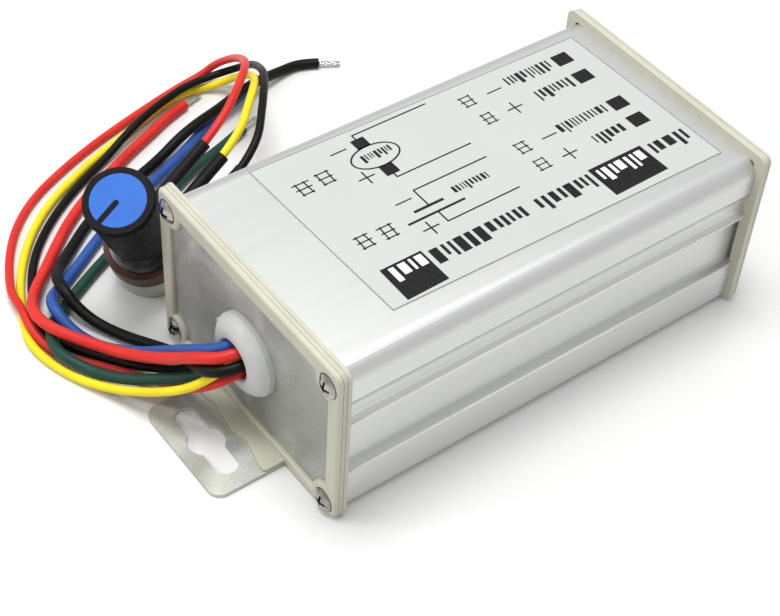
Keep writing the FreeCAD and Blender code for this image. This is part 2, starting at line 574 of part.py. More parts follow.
# ---------------------------------------------------------------- write the parts
def main():
    save("lower_shell", lower_shell())
    save("upper_shell", upper_shell())
    save("front_bezel", fuse([front_bezel(), apron()]))
    save("rear_bezel", mirror_x(front_bezel()))
    save("front_end_plate", front_plate())
    save("rear_end_plate", mirror_x(end_plate()))
    save("front_screws", [screw(0, y, z, -1).Solids[0] for y, z in SCREWS])
    save("rear_screws", [screw(0, y, z, 1).Solids[0] for y, z in SCREWS])
    save("cable_grommet", grommet())
    save("label", label())

    save("power_transistors", [to220(x, (-2.54, 0, 2.54)).Solids[0] for x in DEVICE_X])
    save("freewheel_diode", to220(DIODE_X, (-2.54, 2.54)))
    pad = box(-19, 45, -25.2, -24.9, 12, 28)
    bar = box(-18, 44, -20.4, -18.2, 18, 22)
    bolts = []
    for x in CLAMP_X:
        pad = pad.cut(cyl(1.6, 9, (x, -30, 20), (0, 1, 0)))
        bar = bar.cut(cyl(1.6, 9, (x, -22, 20), (0, 1, 0)))
        shank = cyl(1.2, 8.0, (x, -18.2, 20), (0, -1, 0))
        head = cyl(2.7, 1.8, (x, -18.2, 20), (0, 1, 0))
        bolt = fuse([shank, head])
        slit = box(x - 2, x + 2, -17.2, -16, 19.7, 20.3)
        bolts.append(bolt.cut(slit).Solids[0])
    save("insulating_pad", pad)
    save("clamp_bar", bar)
    save("clamp_screws", bolts)
    caps = [electrolytic(0, 12, 6.4, 22), electrolytic(16, 12, 6.4, 22)]
    save("bulk_capacitors", [c.Solids[0] for c in caps])
    save("timer_ic", dip8(-8, -8))
    save("voltage_regulator", regulator(32, 8))
    ohms = [axial(-12 + 0 * i, -2 + 4.0 * i, 10, 1.2) for i in range(3)]
    ohms += [axial(34, -8 + 4.5 * i, 10, 1.2) for i in range(3)]
    save("resistors", [r.Solids[0] for r in ohms])
    discs = [disc_cap(6, -10), disc_cap(14, -10), disc_cap(22, -10), disc_cap(40, 14)]
    save("small_capacitors", [d.Solids[0] for d in discs])
    save("circuit_board", board())
    save("cable_tie", tie())

    save("knob", pot_place(knob()))
    save("knob_cap", pot_place(knob_cap()))
    save("pot_shaft", pot_place(shaft()))
    save("wiper_carrier", pot_place(wiper()))
    save("pot_front_plate", pot_place(pot_plate()))
    save("pot_wafer", pot_place(wafer()))
    save("pot_cover", pot_place(cover()))
    save("resistive_track", pot_place(track()))
    save("bushing_nut", pot_place(nut()))
    save("lock_washer", pot_place(washer()))
    tags = [pot_place(tag(y)).Solids[0] for y in (-5, 0, 5)]
    save("pot_terminals", tags)
    sleeves = [pot_place(sleeve(y)).Solids[0] for y in (-5, 0, 5)]
    save("terminal_sleeves", sleeves)

    for name in LEADS:
        d, pts = lead_points(name)
        save(name, tube_along(pts, d))
        if d == THICK_D:
            save("tinned_end_" + name.split("_")[-1], tinned(pts))


main()
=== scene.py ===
import json
import math
import random

import bpy
from mathutils import Euler, Matrix, Vector


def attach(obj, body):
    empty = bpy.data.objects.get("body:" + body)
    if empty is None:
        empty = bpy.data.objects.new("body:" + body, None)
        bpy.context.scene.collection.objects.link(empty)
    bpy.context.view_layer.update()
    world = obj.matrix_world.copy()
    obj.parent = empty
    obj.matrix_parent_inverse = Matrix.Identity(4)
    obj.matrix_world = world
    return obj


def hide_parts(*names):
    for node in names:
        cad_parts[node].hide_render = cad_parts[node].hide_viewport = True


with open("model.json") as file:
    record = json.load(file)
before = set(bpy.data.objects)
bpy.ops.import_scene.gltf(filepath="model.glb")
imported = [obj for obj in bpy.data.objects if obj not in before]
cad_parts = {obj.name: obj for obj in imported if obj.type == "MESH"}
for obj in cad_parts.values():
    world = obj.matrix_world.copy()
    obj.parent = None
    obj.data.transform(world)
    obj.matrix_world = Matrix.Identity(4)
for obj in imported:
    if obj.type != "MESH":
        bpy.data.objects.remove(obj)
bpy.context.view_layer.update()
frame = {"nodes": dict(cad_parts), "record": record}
SCENE = bpy.context.scene
NODES = frame["nodes"]
MM = 0.001

# ------------------------------------------------------------------ camera
cam_data = bpy.data.cameras.new("camera")
cam_data.sensor_width = 36.0
cam_data.lens = 79.15
cam_data.shift_x = -0.0505
cam_data.shift_y = 0.0188
cam_data.clip_start = 0.01
cam = bpy.data.objects.new("camera", cam_data)
SCENE.collection.objects.link(cam)
cam.location = (-0.16939, -0.18416, 0.25939)
cam.rotation_euler = Euler([math.radians(a) for a in (43.415, -3.713, -37.38)], "XYZ")
SCENE.camera = cam

# ------------------------------------------------------------------ the potentiometer's own frame
POT_N = Vector((-0.35, -0.26, 0.90)).normalized()
POT_X = Vector((0.88, 0.20, 0.40))
POT_X = (POT_X - POT_N * POT_X.dot(POT_N)).normalized()
POT_Y = POT_N.cross(POT_X)
POT_FACE = Vector((-57.6, 36.7, 32.95))


def pot_point(x, y, z):
    """Point in the row frame, mm, from the potentiometer's own axes."""
    return POT_FACE + POT_X * x + POT_Y * y + POT_N * z


POT_MATRIX = Matrix((
    (POT_X.x, POT_Y.x, POT_N.x, POT_FACE.x * MM),
    (POT_X.y, POT_Y.y, POT_N.y, POT_FACE.y * MM),
    (POT_X.z, POT_Y.z, POT_N.z, POT_FACE.z * MM),
    (0, 0, 0, 1)))


# ------------------------------------------------------------------ materials
def new_material(name):
    mat = bpy.data.materials.new(name)
    mat.use_nodes = True
    tree = mat.node_tree
    bsdf = tree.nodes["Principled BSDF"]
    return mat, tree, bsdf


def link(tree, a, out, b, inp):
    tree.links.new(a.outputs[out], b.inputs[inp])


def noise(tree, scale, detail=4.0, stretch=(1, 1, 1), rough=0.5, distort=0.0):
    coord = tree.nodes.new("ShaderNodeTexCoord")
    mapping = tree.nodes.new("ShaderNodeMapping")
    mapping.inputs["Scale"].default_value = stretch
    tex = tree.nodes.new("ShaderNodeTexNoise")
    tex.inputs["Scale"].default_value = scale
    tex.inputs["Detail"].default_value = detail
    tex.inputs["Roughness"].default_value = rough
    tex.inputs["Distortion"].default_value = distort
    link(tree, coord, "Object", mapping, "Vector")
    link(tree, mapping, "Vector", tex, "Vector")
    return tex


def ramp(tree, source, out, stops):
    node = tree.nodes.new("ShaderNodeValToRGB")
    els = node.color_ramp.elements
    while len(els) < len(stops):
        els.new(0.5)
    for el, (pos, col) in zip(els, stops):
        el.position = pos
        el.color = (*col, 1.0)
    link(tree, source, out, node, "Fac")
    return node


def span(tree, source, out, lo, hi, a=0.3, b=0.7):
    node = tree.nodes.new("ShaderNodeMapRange")
    node.inputs["From Min"].default_value = a
    node.inputs["From Max"].default_value = b
    node.inputs["To Min"].default_value = lo
    node.inputs["To Max"].default_value = hi
    link(tree, source, out, node, "Value")
    return node


def bump(tree, source, out, bsdf, strength, distance):
    node = tree.nodes.new("ShaderNodeBump")
    node.inputs["Strength"].default_value = strength
    node.inputs["Distance"].default_value = distance
    link(tree, source, out, node, "Height")
    link(tree, node, "Normal", bsdf, "Normal")


def surface(name, dark, light, rough=(0.4, 0.5), metal=0.0, scale=300.0, stretch=(1, 1, 1),
            detail=4.0, bump_mm=0.02, bump_strength=0.25, fine=3000.0, coat=0.0, specular=0.5):
    """Mottled surface: two tones and two roughnesses from one noise, fine grain from another."""
    mat, tree, bsdf = new_material(name)
    bsdf.inputs["Metallic"].default_value = metal
    bsdf.inputs["Specular IOR Level"].default_value = specular
    bsdf.inputs["Coat Weight"].default_value = coat
    bsdf.inputs["Coat Roughness"].default_value = 0.12
    cloud = noise(tree, scale, detail, stretch)
    tone = ramp(tree, cloud, "Fac", [(0.3, dark), (0.7, light)])
    link(tree, tone, "Color", bsdf, "Base Color")
    gloss = span(tree, cloud, "Fac", rough[0], rough[1])
    link(tree, gloss, "Result", bsdf, "Roughness")
    grain = noise(tree, fine, 3.0, stretch)
    bump(tree, grain, "Fac", bsdf, bump_strength, bump_mm * MM)
    return mat


def zinc_material(name):
    """Galvanised sheet: cloudy whitish bloom and sandy grain, with a painted highlight that makes
    the mounting ears near the floor paler.
    """
    mat, tree, bsdf = new_material(name)
    bsdf.inputs["Metallic"].default_value = 0.35
    cloud = noise(tree, 75.0, 5.0, distort=0.6)
    base = ramp(tree, cloud, "Fac", [(0.32, (0.29, 0.30, 0.275)), (0.52, (0.37, 0.38, 0.345)),
                                     (0.70, (0.50, 0.52, 0.47))])
    grain = noise(tree, 2200.0, 3.0, rough=0.7)
    speck = ramp(tree, grain, "Fac", [(0.34, (0.62, 0.62, 0.60)), (0.60, (1.0, 1.0, 1.0))])
    mix = tree.nodes.new("ShaderNodeMixRGB")
    mix.blend_type = "MULTIPLY"
    mix.inputs["Fac"].default_value = 0.5
    link(tree, base, "Color", mix, "Color1")
    link(tree, speck, "Color", mix, "Color2")
    coord = tree.nodes.new("ShaderNodeTexCoord")
    split = tree.nodes.new("ShaderNodeSeparateXYZ")
    link(tree, coord, "Object", split, "Vector")
    # painted highlight: near the floor, on the mounting ears, the sheet's colour is raised up to
    # 1.3 times to stand in for the light they reflect
    painted_ear_highlight = span(tree, split, "Z", 1.30, 1.0, 0.0015, 0.0030)
    painted_highlight_scale = tree.nodes.new("ShaderNodeVectorMath")
    painted_highlight_scale.operation = "SCALE"
    link(tree, mix, "Color", painted_highlight_scale, "Vector")
    link(tree, painted_ear_highlight, "Result", painted_highlight_scale, "Scale")
    link(tree, painted_highlight_scale, "Vector", bsdf, "Base Color")
    gloss = span(tree, cloud, "Fac", 0.34, 0.50)
    link(tree, gloss, "Result", bsdf, "Roughness")
    bump(tree, grain, "Fac", bsdf, 0.25, 0.02 * MM)
    return mat


def plain_material(name, r, g, b, rough=0.5):
    """One tone with a slightly lighter mottle, for the small parts inside the case."""
    tone = (r, g, b)
    light = tuple(min(1.0, c * 1.25 + 0.004) for c in tone)
    return surface(name, tone, light, rough=(rough - 0.06, rough + 0.06), scale=500.0)


def wire_material(name, tone, light, rough=0.42, specular=0.26):
    """Soft PVC insulation with a faint waviness."""
    return surface(name, tone, light, rough=(rough - 0.05, rough + 0.08), scale=140.0,
                   bump_mm=0.03, bump_strength=0.2, fine=900.0, specular=specular)


MATERIALS = {
    "aluminium_case": surface("aluminium_case", (0.685, 0.695, 0.685), (0.710, 0.720, 0.710),
                              rough=(0.41, 0.43), metal=1.0, scale=40.0, stretch=(0.35, 14, 14),
                              detail=6.0, bump_mm=0.002, bump_strength=0.03, fine=260.0),
    "cream_plastic": surface("cream_plastic", (0.49, 0.48, 0.39), (0.54, 0.53, 0.435),
                             rough=(0.38, 0.50), scale=120.0, bump_mm=0.03, fine=1500.0),
    "galvanised_plate": zinc_material("galvanised_plate"),
    "plated_screw": surface("plated_screw", (0.30, 0.285, 0.255), (0.50, 0.48, 0.44),
                            rough=(0.10, 0.24), metal=1.0, scale=500.0),
    "white_nylon": surface("white_nylon", (0.47, 0.48, 0.465), (0.53, 0.54, 0.525),
                           rough=(0.34, 0.44), scale=200.0),
    "label_film": surface("label_film", (0.475, 0.50, 0.485), (0.495, 0.52, 0.505),
                          rough=(0.50, 0.56), scale=30.0, bump_mm=0.006,
                          bump_strength=0.1, specular=0.2),
    "black_epoxy": plain_material("black_epoxy", 0.018, 0.018, 0.02),
    "grey_silicone": plain_material("grey_silicone", 0.35, 0.36, 0.37, 0.7),
    "clamp_aluminium": surface("clamp_aluminium", (0.55, 0.56, 0.57), (0.68, 0.69, 0.70),
                               rough=(0.3, 0.45), metal=1.0, scale=100.0, stretch=(1, 9, 9)),
    "capacitor_sleeve": plain_material("capacitor_sleeve", 0.015, 0.02, 0.07, 0.3),
    "resistor_tan": plain_material("resistor_tan", 0.48, 0.36, 0.2, 0.4),
    "capacitor_film": plain_material("capacitor_film", 0.5, 0.22, 0.04, 0.35),
    "green_board": surface("green_board", (0.01, 0.10, 0.03), (0.02, 0.16, 0.06),
                           rough=(0.25, 0.35), scale=200.0, coat=0.3),
    "black_knob": surface("black_knob", (0.003, 0.003, 0.003), (0.006, 0.006, 0.006),
                          rough=(0.42, 0.55), scale=350.0, bump_mm=0.02, fine=2500.0,
                          specular=0.10),
    "blue_cap": surface("blue_cap", (0.022, 0.125, 0.50), (0.028, 0.145, 0.55),
                        rough=(0.36, 0.46), scale=300.0, bump_mm=0.01, fine=2500.0,
                        specular=0.18),
    "shaft_steel": surface("shaft_steel", (0.42, 0.42, 0.41), (0.55, 0.55, 0.54), metal=1.0,
                           rough=(0.2, 0.35), scale=300.0),
    "pot_steel": surface("pot_steel", (0.10, 0.10, 0.11), (0.18, 0.18, 0.19), metal=0.9,
                         rough=(0.3, 0.45), scale=250.0),
    "brown_phenolic": surface("brown_phenolic", (0.032, 0.014, 0.008), (0.080, 0.028, 0.013),
                              rough=(0.35, 0.5), scale=260.0, specular=0.25),
    "pot_cover_steel": surface("pot_cover_steel", (0.36, 0.38, 0.30), (0.46, 0.47, 0.39),
                               metal=0.8, rough=(0.3, 0.42), scale=160.0),
    "carbon_track": plain_material("carbon_track", 0.01, 0.01, 0.01, 0.6),
    "black_sleeve": surface("black_sleeve", (0.005, 0.005, 0.005), (0.012, 0.012, 0.012),
                            rough=(0.4, 0.6), scale=350.0, bump_mm=0.08, bump_strength=0.5,
                            fine=700.0, specular=0.14),
    "red_wire": wire_material("red_wire", (0.56, 0.018, 0.014), (0.68, 0.028, 0.020)),
    "black_wire": wire_material("black_wire", (0.003, 0.003, 0.003), (0.007, 0.007, 0.006),
                                specular=0.14),
    "blue_wire": wire_material("blue_wire", (0.018, 0.070, 0.28), (0.026, 0.095, 0.36)),
    "green_wire": wire_material("green_wire", (0.006, 0.040, 0.028), (0.010, 0.058, 0.042)),
    "yellow_wire": wire_material("yellow_wire", (0.80, 0.62, 0.008), (0.88, 0.71, 0.012)),
    "tinned_copper": surface("tinned_copper", (0.6, 0.58, 0.54), (0.8, 0.78, 0.74), metal=1.0,
                             rough=(0.2, 0.35), scale=900.0),
}
INK = surface("label_ink", (0.008, 0.008, 0.008), (0.013, 0.013, 0.013), rough=(0.45, 0.55),
              scale=900.0, bump_mm=0.004, specular=0.15)
PAPER = surface("label_white", (0.80, 0.82, 0.81), (0.84, 0.86, 0.85), rough=(0.3, 0.4),
                scale=900.0, bump_mm=0.004)


def dress(obj, mat):
    obj.data.materials.clear()
    obj.data.materials.append(mat)


for row in frame["record"]["subparts"]:
    dress(NODES[row["node"]], MATERIALS[row["material_slot"]])
for node in ("bushing_nut", "lock_washer"):     # darker than the plated screws
    dress(NODES[node], MATERIALS["pot_steel"])

# ------------------------------------------------------------------ leads
THICK_D = 2.4           # all in millimetres
THIN_D = 1.8
LEADS = {               # node: diameter, control points from the board to the far end
    "power_lead_red": (THICK_D, [
        (-28, -4, 8.65), (-29, -4, 14.5), (-34, -3, 19.6), (-42.5, -1.2, 22),
        (-57.4, -1.2, 22), (-61.2, 4.2, 20), (-62.6, 11, 14.3), (-64.1, 18, 9.2),
        (-66.6, 24.8, 6), (-70.1, 31, 5.6), (-73.2, 36.1, 5.7), (-74.9, 40.7, 5.8),
        (-74.3, 46, 4.6), (-71.1, 51, 3.4), (-65.8, 56.6, 1.8), (-60.6, 61.8, 1.2),
        (-55, 66.7, 1.2), (-49, 70.9, 1.2), (-42.5, 74.7, 1.2), (-36, 77.8, 1.2),
        (-30, 80.7, 1.2), (-24, 83.2, 1.2), (-18, 86, 1.2), (-12.5, 87.6, 1.2)]),
    "power_lead_black": (THICK_D, [
        (-29, -9, 8.65), (-29.8, -8.6, 13.8), (-34.6, -6, 18.4), (-43, -2.7, 19.9),
        (-57.4, -2.7, 19.9), (-61.3, 1.8, 18.3), (-59.2, 9.2, 13.1), (-58, 17, 7.6),
        (-59, 24, 4), (-61.3, 31, 1.6), (-64.2, 37.3, 1.5), (-66.2, 42.3, 3.4),
        (-66.7, 46.4, 5.6), (-66.1, 50.8, 5.1), (-62.9, 55.6, 2.4), (-57.6, 60, 1.2),
        (-51.5, 64.6, 1.2), (-45, 67.9, 1.2), (-38.5, 70.5, 1.2), (-32, 72.6, 1.2),
        (-26.5, 74.5, 1.6), (-21, 76.2, 3.1), (-15, 77.6, 3.95), (-9, 79, 3.95),
        (-3, 81, 3.9), (3, 82.8, 3.8), (8.5, 84.4, 2.6), (13.5, 85.6, 1.4),
        (18.5, 85.8, 1.2), (22.5, 83.5, 1.2)]),
    "motor_lead_blue": (THICK_D, [
        (-28, 4, 8.65), (-29, 4, 14.5), (-34, 3.2, 19.6), (-42.5, 1.4, 21.9),
        (-56.4, 1.4, 21.9), (-58.9, 6.8, 18.2), (-60.1, 12.6, 13.6), (-61.5, 18.6, 8.5),
        (-63.2, 24.4, 4.2), (-65.2, 29.2, 1.8), (-68.1, 33.8, 1.5), (-70.3, 38.4, 3.4),
        (-71, 43, 5.7), (-69.1, 47.6, 3.5), (-65, 51, 1.4), (-58.5, 55, 1.2),
        (-52, 59.2, 1.2), (-45, 63, 1.2), (-38, 66.3, 1.2), (-31, 69.3, 1.2),
        (-25, 71.7, 1.2), (-19.5, 74.4, 1.2), (-14, 77.4, 1.2), (-8, 80.5, 1.2),
        (-3.5, 82.3, 1.2), (1.2, 83.9, 1.2)]),
    "motor_lead_green": (THICK_D, [
        (-31, 10.5, 8.65), (-31.8, 10.2, 12.9), (-36.6, 6.8, 16.1), (-44, 1.4, 17.1),
        (-56.4, 1.4, 17.1), (-60.1, 5.9, 12.1), (-63.8, 12.2, 8), (-67.6, 18.6, 4.2),
        (-71.4, 25, 2.5), (-74.4, 30.6, 3.1), (-75.3, 34.8, 3.3), (-74.3, 38.2, 3.3),
        (-72.7, 41.1, 3.1), (-70, 43.6, 1.4), (-65.5, 46.7, 1.2), (-61, 49.3, 1.2),
        (-56, 52, 1.2), (-50, 54.9, 1.2), (-44, 57.6, 1.2), (-37.5, 60.6, 1.2),
        (-31, 63.5, 1.2), (-25, 66.4, 1.2), (-19, 68.6, 1.2), (-12, 70.6, 1.2),
        (-6, 73, 1.2)]),
    "pot_lead_red": (THIN_D, [
        (-31, -4.5, 8.65), (-31.8, -4.4, 12.8), (-36.4, -3.4, 16.2), (-44, -1.6, 16.9),
        (-57, -1.6, 16.9), (-60.2, 2, 12.9), (-61.2, 7.2, 8.2), (-62.4, 13.4, 4.8),
        (-64.8, 20, 2), (-68, 26, 1), (-71.6, 30.8, 0.9), (-74.9, 35.4, 0.9),
        (-76, 40, 1.7), (-76.3, 43.8, 3), (-75.2, 49.4, 2.85), (-74.8, 54, 2.2),
        (-72.6, 59.6, 0.9), (-69, 66.2, 0.9), (-63.8, 72.8, 0.9), (-56.6, 78.6, 0.9),
        (-47, 83.2, 0.9), (-37.5, 86.8, 0.9), (-28, 89.6, 0.9), (-19, 92, 0.9),
        (-10.5, 94, 0.9), (-3.6, 94.4, 1.6), (-1, 91.9, 5.6), (-0.4, 85.4, 11.2),
        (-3.2, 77.6, 17.4), (-7.2, 69.2, 23.6), (-13, 61.6, 27.2),
        pot_point(30, 5, -24.5), pot_point(19, 5, -24.5)]),
    "pot_lead_yellow": (THIN_D, [
        (-31.5, 0.5, 8.65), (-32.3, 0.5, 13.4), (-37, 0.2, 17.6), (-44.5, -0.2, 18.9),
        (-57.4, -0.2, 18.5), (-62, 2.6, 14), (-64.6, 7, 9.8), (-67.4, 12.8, 5.8),
        (-70.8, 19.6, 2.4), (-74.4, 26.4, 1), (-77, 33.4, 0.9), (-78, 40.6, 0.9),
        (-76.3, 46.2, 0.9), (-74, 51.6, 0.9), (-71.2, 57.4, 0.9), (-67, 63.6, 0.9),
        (-61.6, 69.6, 0.9), (-54.4, 75.3, 0.9), (-45.3, 80, 0.9), (-36.3, 83.7, 0.9),
        (-27, 86.9, 0.9), (-18, 90.1, 0.9), (-10, 91.7, 0.9), (-3.4, 89.6, 1.5),
        (-0.6, 85.2, 5.6), (-1.2, 78.8, 11), (-4.3, 71.4, 17.2), (-8.4, 63.6, 23),
        (-14.8, 56, 25.6),
        pot_point(30, 0, -24.5), pot_point(19, 0, -24.5)]),
    "pot_lead_black": (THIN_D, [
        (-31, 5.5, 8.65), (-31.8, 5.3, 13.6), (-36.5, 4, 18.6), (-43.5, 2.6, 19.8),
        (-56.3, 2.4, 19.6), (-56.8, 7.8, 12.6), (-59.2, 13.4, 6.6), (-62, 19.4, 3.4),
        (-64.7, 24.8, 1.2), (-68.2, 30, 0.9), (-71.6, 35.2, 0.9), (-73.5, 40, 0.9),
        (-73.7, 44.3, 0.9), (-72.7, 48.8, 0.9), (-70.4, 54, 0.9), (-67.4, 59.3, 0.9),
        (-63.4, 64.3, 0.9), (-58.1, 69.2, 0.9), (-51.7, 73.8, 0.9), (-44, 78.1, 0.9),
        (-36.5, 81.4, 1.3), (-30, 84, 3), (-23.5, 86.6, 3.6), (-17, 88.9, 3.6),
        (-10.5, 90.8, 3.4), (-3.6, 91, 3.3), (2.4, 88, 5.4), (2.2, 82, 10.6),
        (-0.8, 73.8, 16.6), (-5.2, 64.8, 22.2), (-12.6, 54.4, 25),
        pot_point(30, -5, -24.5), pot_point(19, -5, -24.5)]),
}

CORD_FACTS = {          # node: material slot, length in metres
    "power_lead_red": ("red_wire", 0.168),
    "power_lead_black": ("black_wire", 0.196),
    "motor_lead_blue": ("blue_wire", 0.171),
    "motor_lead_green": ("green_wire", 0.155),
    "pot_lead_red": ("red_wire", 0.2515),
    "pot_lead_yellow": ("yellow_wire", 0.246),
    "pot_lead_black": ("black_wire", 0.2455),
}


def spline_object(name, points, diameter, mat):
    data = bpy.data.curves.new(name, "CURVE")
    data.dimensions = "3D"
    data.resolution_u = 10
    data.bevel_resolution = 6
    line = data.splines.new("NURBS")
    line.points.add(len(points) - 1)
    for p, (x, y, z) in zip(line.points, points):
        p.co = (x * MM, y * MM, z * MM, 1.0)
    line.order_u = 3
    line.use_endpoint_u = True
    data.bevel_depth = diameter * MM / 2
    data.use_fill_caps = True
    data.materials.append(mat)
    obj = bpy.data.objects.new(name, data)
    SCENE.collection.objects.link(obj)
    return obj


def mesh_object(name, verts, faces, mat, smooth=False):
    mesh = bpy.data.meshes.new(name)
    mesh.from_pydata(verts, [], faces)
    mesh.update()
    mesh.materials.append(mat)
    for poly in mesh.polygons:
        poly.use_smooth = smooth
    obj = bpy.data.objects.new(name, mesh)
    SCENE.collection.objects.link(obj)
    return obj


def strands(name, points):
    """Seven twisted tinned strands that fan out a little at the tip."""
    a, b = Vector(points[-2]), Vector(points[-1])
    u = (b - a).normalized()
    side = u.cross(Vector((0, 0, 1))).normalized()
    up = side.cross(u)
    verts, faces = [], []
    rows, around = 14, 6
    strand_r, ring_r = 0.17, 0.36       # a strand's radius, and the ring of six round the core
    length, twist, sag = 5.2, 2.6, 0.25
    core = 6
    rng = random.Random(name)
    for k in range(core + 1):
        phase = k * math.pi / 3
        reach = length + rng.uniform(-0.5, 0.2)
        flare = rng.uniform(0.0, 0.16)
        base = len(verts)
        for i in range(rows):
            t = i / (rows - 1)
            rad = 0.0 if k == core else ring_r + flare * t * t
            ang = phase + twist * t
            c = b + u * (reach * t) + (side * math.cos(ang) + up * math.sin(ang)) * rad
            c = c - up * (sag * t * t)
            for j in range(around):
                q = 2 * math.pi * j / around
                p = c + (side * math.cos(q) + up * math.sin(q)) * strand_r
                verts.append(tuple(p * MM))
        for i in range(rows - 1):
            for j in range(around):
                n = (j + 1) % around
                lo = base + i * around
                faces.append((lo + j, lo + n, lo + around + n, lo + around + j))
        faces.append(tuple(base + j for j in reversed(range(around))))
        faces.append(tuple(base + (rows - 1) * around + j for j in range(around)))
    return mesh_object(name, verts, faces, MATERIALS["tinned_copper"], True)


def lay_leads():
    for node, (slot, length) in CORD_FACTS.items():
        diameter, points = LEADS[node]
        wire = spline_object(node + "_wire", points, diameter, MATERIALS[slot])
        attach(wire, "case")
        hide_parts(node)
        if diameter == THICK_D:
            colour = node.split("_")[-1]
            tip = strands("strands_" + colour, points)
            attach(tip, "case")
            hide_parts("tinned_end_" + colour)


# ------------------------------------------------------------------ knob knurl
KNOB_LOW_R = 6.1        # radius at the skirt, then over the full height, and that height, mm
KNOB_FLARE = 0.9
KNOB_H = 17.1
SKIN_BOTTOM, SKIN_TOP = -17.0, -0.15
SKIN_T = 0.2
RIM_FROM, SKIRT_TO = -2.3, -15.0    # serrated rim above, smooth skirt below
TEETH = 90
KNURL_STARTS, KNURL_PITCH = 45, 5.2


def knob_radius(z):
    return KNOB_LOW_R + KNOB_FLARE * (z + KNOB_H) / KNOB_H


def knurl_rise(a, z, t):
    """How far the skin stands out at angle a and height z, t being the share of its height."""
    if t < 0.03 or t > 0.985:
        return 0.01
    if z > RIM_FROM:
        return 0.02 + 0.30 * (0.5 + 0.5 * math.cos(a * TEETH))
    if z < SKIRT_TO:
        return 0.05
    p = math.cos(KNURL_STARTS * a + z * KNURL_PITCH)
    q = math.cos(KNURL_STARTS * a - z * KNURL_PITCH)
    return 0.02 + 0.13 * max(0.0, 0.5 + 0.25 * (p + q))


def knurl():
    """Thin moulded skin with a fine diamond knurl and a serrated rim, over the knob's side."""
    around, rows = 720, 72
    verts, faces = [], []

    def add(r, a, z):
        verts.append((r * math.cos(a) * MM, r * math.sin(a) * MM, z * MM))

    for i in range(rows):
        t = i / (rows - 1)
        z = SKIN_BOTTOM + (SKIN_TOP - SKIN_BOTTOM) * t
        for j in range(around):
            a = 2 * math.pi * j / around
            add(knob_radius(z) + knurl_rise(a, z, t), a, z)
    for i in range(rows - 1):
        for j in range(around):
            n = (j + 1) % around
            faces.append((i * around + j, i * around + n,
                          (i + 1) * around + n, (i + 1) * around + j))
    # close the skin on the inside so that it is a solid
    inner = len(verts)
    for z in (SKIN_BOTTOM, SKIN_TOP):
        for j in range(around):
            add(knob_radius(z) - SKIN_T, 2 * math.pi * j / around, z)
    top = (rows - 1) * around
    for j in range(around):
        n = (j + 1) % around
        faces.append((j, inner + j, inner + n, n))
        faces.append((top + j, top + n, inner + around + n, inner + around + j))
        faces.append((inner + j, inner + around + j, inner + around + n, inner + n))
    skin = mesh_object("knob_knurl", verts, faces, MATERIALS["black_knob"], True)
    skin.data.transform(POT_MATRIX)
    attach(skin, "knob")


# ------------------------------------------------------------------ label print
PRINT_Z = (38.40, 38.445)           # from just inside the film to just above it, mm
WHITE_Z = (38.43, 38.46)            # white marks, over the black ones
LABEL_CORNERS = [(-34.3, -20.3), (46.1, -21.8), (45.1, 23.1), (-35.5, 24.5)]


class Print:
    """Collects thin printed shapes and turns them into one mesh."""

    def __init__(self, levels):
        self.levels = levels
        self.verts = []
        self.faces = []

    def quad(self, corners):
        n = len(self.verts)
        turn = sum(a[0] * b[1] - b[0] * a[1] for a, b in zip(corners, corners[1:] + corners[:1]))
        if turn < 0:
            corners = corners[::-1]
        for z in self.levels:
            self.verts += [(x * MM, y * MM, z * MM) for x, y in corners]
        self.faces += [(n + 3, n + 2, n + 1, n), (n + 4, n + 5, n + 6, n + 7)]
        for i in range(4):
            j = (i + 1) % 4
            self.faces.append((n + i, n + j, n + 4 + j, n + 4 + i))

    def box(self, x0, x1, y0, y1):
        self.quad([(x0, y0), (x1, y0), (x1, y1), (x0, y1)])

    def line(self, a, b, w):
        dx, dy = b[0] - a[0], b[1] - a[1]
        d = math.hypot(dx, dy)
        nx, ny = -dy / d * w / 2, dx / d * w / 2
        self.quad([(a[0] + nx, a[1] + ny), (a[0] - nx, a[1] - ny),
                   (b[0] - nx, b[1] - ny), (b[0] + nx, b[1] + ny)])

    def minus(self, x, y, r, w):
        self.box(x - r, x + r, y - w / 2, y + w / 2)

    def plus(self, x, y, r, w):
        self.minus(x, y, r, w)
        self.box(x - w / 2, x + w / 2, y + w / 2, y + r)
        self.box(x - w / 2, x + w / 2, y - r, y - w / 2)

    def marks(self, x_start, x_end, y, height, seed, weight):
        """Row of plain upright bars that stands in for a printed line."""
        rng = random.Random(seed)
        s = height * weight
        base = y + height / 2
        x = x_start
        while x > x_end + 0.5:
            top = base - height * rng.choice((0.62, 0.68, 0.92))
            w = s * rng.choice((0.8, 1.0, 1.6, 2.2))
            self.box(x - w, x, top, base)
            x -= w + height * rng.uniform(0.13, 0.20)

    def sign(self, x, y, size, seed):
        """Square made-up sign of a few crossed strokes."""
        rng = random.Random(seed)
        s = size * 0.07
        for k in range(3):
            yy = y - size * 0.36 + size * 0.36 * k
            half = size * rng.uniform(0.28, 0.46)
            self.box(x - half, x + half, yy - s / 2, yy + s / 2)
        for k in range(2):
            xx = x - size * 0.24 + size * 0.48 * k + rng.uniform(-0.1, 0.1)
            self.line((xx, y - size * 0.44), (xx + rng.uniform(-0.3, 0.3), y + size * 0.44), s)

    def build(self, name, mat):
        obj = mesh_object(name, self.verts, self.faces, mat)
        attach(obj, "case")
        return obj


